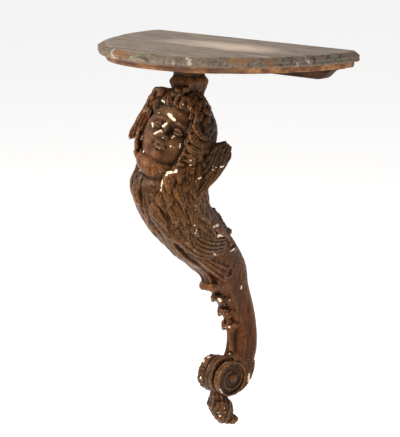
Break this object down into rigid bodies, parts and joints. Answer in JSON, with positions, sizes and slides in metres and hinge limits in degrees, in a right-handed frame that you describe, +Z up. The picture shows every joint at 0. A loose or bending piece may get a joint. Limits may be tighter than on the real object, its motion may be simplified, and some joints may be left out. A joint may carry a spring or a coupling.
{
  "type": "carved angel figure wall console",
  "caption": "Half-round shelf board on a batten, carried by a carved winged child's head and chest that runs down into a scroll stem, volute and leafy drop.",
  "frame": {"origin": "centre of the batten's back face, on the wall", "axes": "+Z up, +Y into the wall, the room towards -Y, +X to the right of someone who faces the wall"},
  "size_m": [0.52, 0.29, 0.72],
  "materials": {
    "painted_board": "worn grey and ochre marbled paint on wood",
    "batten_wood": "dark bare wood",
    "carved_wood": "aged red-brown patina over gesso, satin, chipped"
  },
  "bodies": {
    "root": {"shelf_board": "painted_board", "wall_batten": "batten_wood", "carved_angel_scroll": "carved_wood"}
  },
  "joints": []
}
